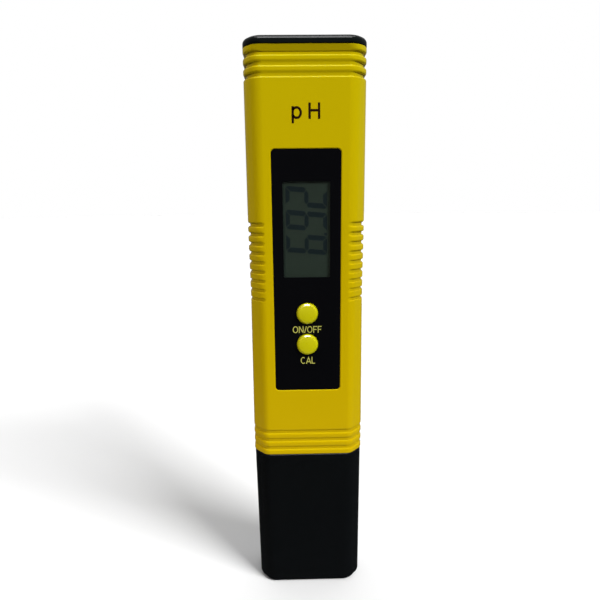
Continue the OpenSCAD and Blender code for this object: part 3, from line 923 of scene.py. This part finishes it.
def build_lettering():
    """The unit on the case, and the buttons' functions on the panel."""
    ink = 0.03 * MM
    case_face = (FRONT_Y - ink, FRONT_Y + ink)
    panel_face = (PANEL_LOW.y - ink, PANEL_LOW.y + ink)
    middle = PANEL_CENTRE[0]

    unit_word = [("p", 2.58 * MM, 1.62 * MM, 0.79), ("H", 2.95 * MM, 0, 1)]
    place, height, bold = (middle - 3.54 * MM, 134.4 * MM), 3.84 * MM, 0.58 * MM
    build_word("unit_mark", unit_word, place, height, bold, case_face, INK_DARK)

    o, n, f = 1.46 * MM, 1.28 * MM, 1.04 * MM
    power_word = [
        ("O", o, 0.20 * MM, 1), ("N", n, 0.15 * MM, 1), ("/", 0.74 * MM, 0.08 * MM, 1),
        ("O", o, 0.22 * MM, 1), ("F", f, 0.19 * MM, 1), ("F", f, 0, 1),
    ]
    place, height, fine = (middle - 4.0 * MM, 78.95 * MM), 1.90 * MM, 0.22 * MM
    build_word("power_label", power_word, place, height, fine, panel_face, INK_YELLOW)

    cal_word = [("C", 1.35 * MM, 0.10 * MM, 1), ("A", 1.42 * MM, 0.12 * MM, 1), ("L", 0.96 * MM, 0, 1)]
    place, height = (middle - 1.9 * MM, 70.1 * MM), 1.95 * MM
    build_word("calibration_label", cal_word, place, height, fine, panel_face, INK_YELLOW)


# ---- Caps ----


def build_protective_cap():
    """A shell that narrows to a round foot, with a round lip at its mouth and a ledge inside."""
    face_inset, taper, foot_r, lip_r = 0.16 * MM, 0.4 * MM, 1.3 * MM, 0.55 * MM
    mouth, low_mouth, floor_z = 1.6 * MM, 2.05 * MM, 1.8 * MM
    ledge_z, ledge, inner_r, soft = 29 * MM, 0.4 * MM, 0.8 * MM, 0.15 * MM
    foot_face_r = 4.0 * MM
    lean = 0.25 * MM
    seam_gap = 0.06 * MM
    mouth_z = CAP_TOP_Z - seam_gap

    def narrowed(outline, z):
        """The sides close in towards the foot, and the front and back stay upright. The foot leans aside."""
        down = (mouth_z - z) / mouth_z
        share = 1 - taper * down / (CASE_W / 2)
        return [Vector((p.x * share + lean * down, p.y)) for p in outline]

    def outer(z, inset):
        """An outer section. Its edges grow rounder towards the foot, whose own round draws the section in."""
        width, depth, face_r, side_r = LOW_SLOPE
        face_r += (foot_face_r - face_r) * (1 - z / mouth_z)
        slope = (width, depth, face_r + inset, side_r + inset)
        return narrowed(case_outline(face_inset + inset, slope), z)

    rings = [at_height(outer(up, inset), up) for up, inset in fillet(foot_r, 10)]
    rings += [at_height(outer(share * mouth_z, 0), share * mouth_z) for share in (0.2, 0.4, 0.6, 0.8)]
    lip = [(mouth_z - down, inset) for down, inset in reversed(fillet(lip_r, 8))]
    rings += [at_height(outer(z, inset), z) for z, inset in lip]
    inside = [
        (mouth_z, mouth - soft), (mouth_z - soft, mouth),
        (ledge_z + ledge, mouth), (ledge_z, low_mouth),
    ]
    inside += [(floor_z + up, low_mouth + inset) for up, inset in reversed(fillet(inner_r, 8))]
    rings += [at_height(narrowed(case_outline(inset), z), z) for z, inset in inside]
    cap = loft("cap_shell", rings)
    return finish_piece(cap, BLACK_GLOSS, "protective_cap", ["protective_cap"], sharp=50)


def build_battery_cap():
    """The lid over the battery bay: a round-edged top, and a skirt that plugs into the case."""
    skirt_out, skirt_in = 1.6 * MM, 2.6 * MM
    edge_r, under_r, soft = 1.15 * MM, 0.12 * MM, 0.15 * MM
    seam_gap = 0.05 * MM
    under = RIM_Z + seam_gap
    skirt_rise = 1.0 * MM
    skirt_z = BRIDGE_LOW.z + skirt_rise
    sections = [
        (under, skirt_in), (skirt_z + soft, skirt_in), (skirt_z, skirt_in - soft),
        (skirt_z, skirt_out + soft), (skirt_z + soft, skirt_out), (under, skirt_out),
        (under, under_r), (under + under_r, 0.0),
    ]
    sections += [(LID_TOP_Z - down, inset) for down, inset in reversed(fillet(edge_r, 10))]
    rings = [at_height(case_outline(inset, HIGH_SLOPE), z) for z, inset in sections]
    lid = loft("lid_shell", rings)
    return finish_piece(lid, BLACK_SATIN, "battery_cap", ["battery_cap"], sharp=50)


def build_lid_posts():
    """Two posts under the lid that carry the contact strip."""
    side_x, r, flare, soft = 5 * MM, 1.5 * MM, 0.5 * MM, 0.1 * MM
    top, bottom = RIM_Z + 0.05 * MM, BRIDGE_HIGH.z
    profile = [
        (0, bottom), (r - soft, bottom), (r, bottom + soft), (r, top - flare),
        (r + flare * 0.3, top - flare * 0.3), (r + flare, top), (0, top),
    ]
    posts = [lathe("post", profile, (x, 0, 0), steps=40) for x in (-side_x, side_x)]
    return finish_piece(join("lid_posts", posts), BLACK_SATIN, "battery_cap")


# ---- Carried-over CAD nodes ----

# Each material, the width in millimetres by which the edges are softened, and the nodes that are made so.
NODE_LOOKS = (
    (WHITE_PLASTIC, 0.15, "lcd_frame"),
    (ELASTOMER, 0.1, "elastomer_strip_left", "elastomer_strip_right"),
    (BOARD_GREEN, 0.08, "circuit_board"),
    (COMPONENT_BLACK, 0.08, "power_switch", "cal_switch"),
    (COMPONENT_BLACK, 0.1, "power_plunger", "cal_plunger"),
    (COMPONENT_BLACK, 0.05, "microcontroller", "amplifier_chip", "resistors"),
    (COMPONENT_TAN, 0.06, "capacitors"),
    (STEEL, 0.15, "crystal"),
    (STEEL, 0.08, "board_screws"),
    (BLACK_SATIN, 0.15, "battery_holder"),
    (NICKEL, 0.03, "battery_contact_left", "battery_contact_right"),
    (STEEL, 0.25, "button_cell_1", "button_cell_2", "button_cell_3", "button_cell_4"),
    (NICKEL, 0.06, "battery_bridge"),
    (WIRE_RED, 0.05, "battery_lead_red"),
    (WIRE_BLACK, 0.05, "battery_lead_black", "reference_lead"),
    (WIRE_WHITE, 0.05, "signal_lead"),
    (BLACK_SATIN, 0.2, "electrode_collar", "electrode_guard"),
    (SEAL_RUBBER, 0.3, "cap_seal"),
    (ELECTRODE_GLASS, 0.0, "glass_electrode"),
    (CERAMIC, 0.1, "reference_junction"),
    (POTTING, 0.1, "electrode_plug"),
    (SILVER, 0.05, "silver_wire", "reference_wire"),
)


def dress_node(node, material, edge):
    """Gives a CAD node its material, and softens its sharp edges."""
    node.data.materials.clear()
    node.data.materials.append(material)
    if edge:
        bevel = node.modifiers.new("soft_edges", "BEVEL")
        bevel.width = edge
        bevel.segments = 3
        bevel.limit_method = "ANGLE"
        bevel.angle_limit = math.radians(40)
        bevel.harden_normals = False


def dress_cad_nodes():
    for material, edge, *names in NODE_LOOKS:
        for name in names:
            dress_node(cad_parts[name], material, edge * MM)


# ---- Studio ----


def build_floor():
    """White paper, kept out of reflections. Only the disc close by throws light back on the meter."""
    near, far, steps = 0.13, 4.0, 64
    material, _, _, shader = node_material("floor_paper")
    shader.inputs["Base Color"].default_value = (0.94, 0.94, 0.94, 1)
    shader.inputs["Roughness"].default_value = 0.9
    shader.inputs["Specular IOR Level"].default_value = 0.1
    inner, outer = ([Vector((*p, 0)) for p in circle((0, 0), r, steps)] for r in (near, far))
    disc = mesh_object("floor_near", inner, [tuple(range(steps))])
    ring_faces = [(i, (i + 1) % steps, steps + (i + 1) % steps, steps + i) for i in range(steps)]
    ring = mesh_object("floor_far", inner + outer, ring_faces)
    ring.visible_diffuse = False
    for piece in (disc, ring):
        piece.data.materials.append(material)
        piece.visible_glossy = False
    return disc, ring


def add_light(name, kind, energy, towards, colour=(1, 1, 1)):
    """A lamp that shines from the direction towards."""
    light = bpy.data.lights.new(name, kind)
    light.energy = energy
    light.color = colour
    lamp = bpy.data.objects.new(name, light)
    lamp.rotation_mode = "QUATERNION"
    lamp.rotation_quaternion = Vector(towards).to_track_quat("Z", "Y")
    bpy.context.scene.collection.objects.link(lamp)
    return lamp


def keep_off(lamp, objects):
    """Stops a lamp from lighting some objects."""
    group = bpy.data.collections.new(lamp.name + "_off")
    for obj in objects:
        group.objects.link(obj)
    lamp.light_linking.receiver_collection = group
    for entry in group.collection_objects:
        entry.light_linking.link_state = "EXCLUDE"


def shine_on(lamp, objects):
    """Lets a lamp light some objects only."""
    group = bpy.data.collections.new(lamp.name + "_on")
    for obj in objects:
        group.objects.link(obj)
    lamp.light_linking.receiver_collection = group


def add_softbox(name, power, place, towards, size):
    lamp = add_light(name, "AREA", power, towards)
    lamp.data.shape = "RECTANGLE"
    lamp.data.size, lamp.data.size_y = size
    lamp.location = place
    return lamp


def add_highlight(name, power, place, towards, size, objects, colour=(1, 1, 1)):
    """A softbox that shows only as a reflection in some objects."""
    lamp = add_softbox(name, power, place, towards, size)
    lamp.data.color = colour
    lamp.visible_diffuse = False
    shine_on(lamp, objects)


def add_sun(name, strength, towards, degrees, colour=(1, 1, 1)):
    lamp = add_light(name, "SUN", strength, towards, colour)
    lamp.data.angle = math.radians(degrees)
    return lamp


def light_meter(floor):
    """A key from the right, a fill from the front left and a softbox overhead, all kept off the floor."""
    key = add_sun("key", 4.5, (0.70, -0.50, 0.60), 19, (1.0, 1.03, 0.97))
    fill = add_sun("fill", 1.96, (-0.60, -0.66, 0.56), 30, (1.0, 0.86, 0.70))
    for lamp in (key, fill):
        lamp.visible_glossy = False
    top = add_softbox("top", 0.8, (0.0, -0.07, 0.50), (0.0, -0.2, 1.0), (0.45, 0.045))
    for lamp in (key, fill, top):
        keep_off(lamp, floor)


def light_floor(floor):
    """Two lamps from the right, a little apart, that together throw the meter's wide shadow."""
    low = add_sun("low_shadow", 1.75, (0.73, -0.40, 0.57), 15)
    high = add_sun("high_shadow", 1.85, (0.56, -0.53, 0.64), 15)
    for lamp in (low, high):
        shine_on(lamp, floor)


def build_highlights(housing, lid, buttons, cap):
    """Softboxes high in front of the meter, each for the sheen on the edges of its own pieces."""
    add_highlight("lid_shine", 3.6, (0.0, -0.32, 0.55), (0.0, -0.5, 0.9), (0.45, 0.20), [lid])
    add_highlight("button_shine", 9.0, (0.0, -0.25, 0.50), (0.0, -0.5, 0.8), (0.30, 0.40), buttons)
    add_highlight("cap_shine", 1.3, (0.10, -0.50, 0.50), (0.15, -0.75, 0.68), (0.50, 0.06), [cap])
    lime = (0.8, 1.0, 0.2)
    add_highlight("rib_shine", 4.2, (0.0, -0.30, 0.55), (0.0, -0.5, 0.85), (0.60, 0.12), [housing], lime)


def build_room():
    """The surroundings: brighter behind the meter and overhead, dim below, and white to the camera.

    Behind the meter they are dimmer for glossy rays, so that the edges don't turn white.
    """
    world = bpy.data.worlds.new("room")
    bpy.context.scene.world = world
    world.use_nodes = True
    nodes, links = world.node_tree.nodes, world.node_tree.links
    background = nodes["Background"]
    coords = nodes.new("ShaderNodeTexCoord")
    split = nodes.new("ShaderNodeSeparateXYZ")
    links.new(coords.outputs["Generated"], split.inputs["Vector"])
    path = nodes.new("ShaderNodeLightPath")

    def ramp(axis, start, end, low, high):
        return map_range(nodes, links, split.outputs[axis], start, end, low, high, "SMOOTHSTEP")

    behind = nodes.new("ShaderNodeMix")
    links.new(path.outputs["Is Glossy Ray"], behind.inputs["Factor"])
    links.new(ramp("Y", -0.3, 0.7, 0.10, 0.72), behind.inputs["A"])
    links.new(ramp("Y", -0.3, 0.7, 0.10, 0.22), behind.inputs["B"])
    above = combine(nodes, links, "ADD", behind.outputs["Result"], ramp("Z", 0.2, 1.0, 0.0, 0.25))
    total = combine(nodes, links, "MULTIPLY", above, ramp("Z", -0.4, 0.0, 0.15, 1.0))
    shown = nodes.new("ShaderNodeMix")
    links.new(path.outputs["Is Camera Ray"], shown.inputs["Factor"])
    links.new(total, shown.inputs["A"])
    shown.inputs["B"].default_value = 1.0
    links.new(shown.outputs["Result"], background.inputs["Strength"])
    background.inputs["Color"].default_value = (1, 1, 1, 1)


def build_camera():
    """The camera stands a little left of the meter, three quarters up its height, and looks slightly down."""
    data = bpy.data.cameras.new("camera")
    data.sensor_width = 36
    data.lens = 28.9
    camera = bpy.data.objects.new("camera", data)
    place = Vector((-4.14, -134.5, 114.6)) * MM
    yaw, pitch, roll = (math.radians(a) for a in (-0.99, -11.74, -0.62))
    aim = Matrix.Rotation(yaw, 4, "Z") @ Matrix.Rotation(math.pi / 2 + pitch, 4, "X")
    camera.matrix_world = Matrix.Translation(place) @ aim @ Matrix.Rotation(roll, 4, "Z")
    data.clip_start = 0.01
    bpy.context.scene.collection.objects.link(camera)
    bpy.context.scene.camera = camera
    bpy.context.scene.view_settings.view_transform = "Standard"


build_camera()
housing = build_housing()
build_board_posts()
build_panel()
build_window()
build_lcd()
build_reading()
power = build_button("power_button_cap", "power_button", POWER_LOW, POWER_HIGH)
cal = build_button("cal_button_cap", "cal_button", CAL_LOW, CAL_HIGH)
build_lettering()
cap = build_protective_cap()
lid = build_battery_cap()
build_lid_posts()
dress_cad_nodes()
floor = build_floor()
light_meter(floor)
light_floor(floor)
build_highlights(housing, lid, (power, cal), cap)
build_room()
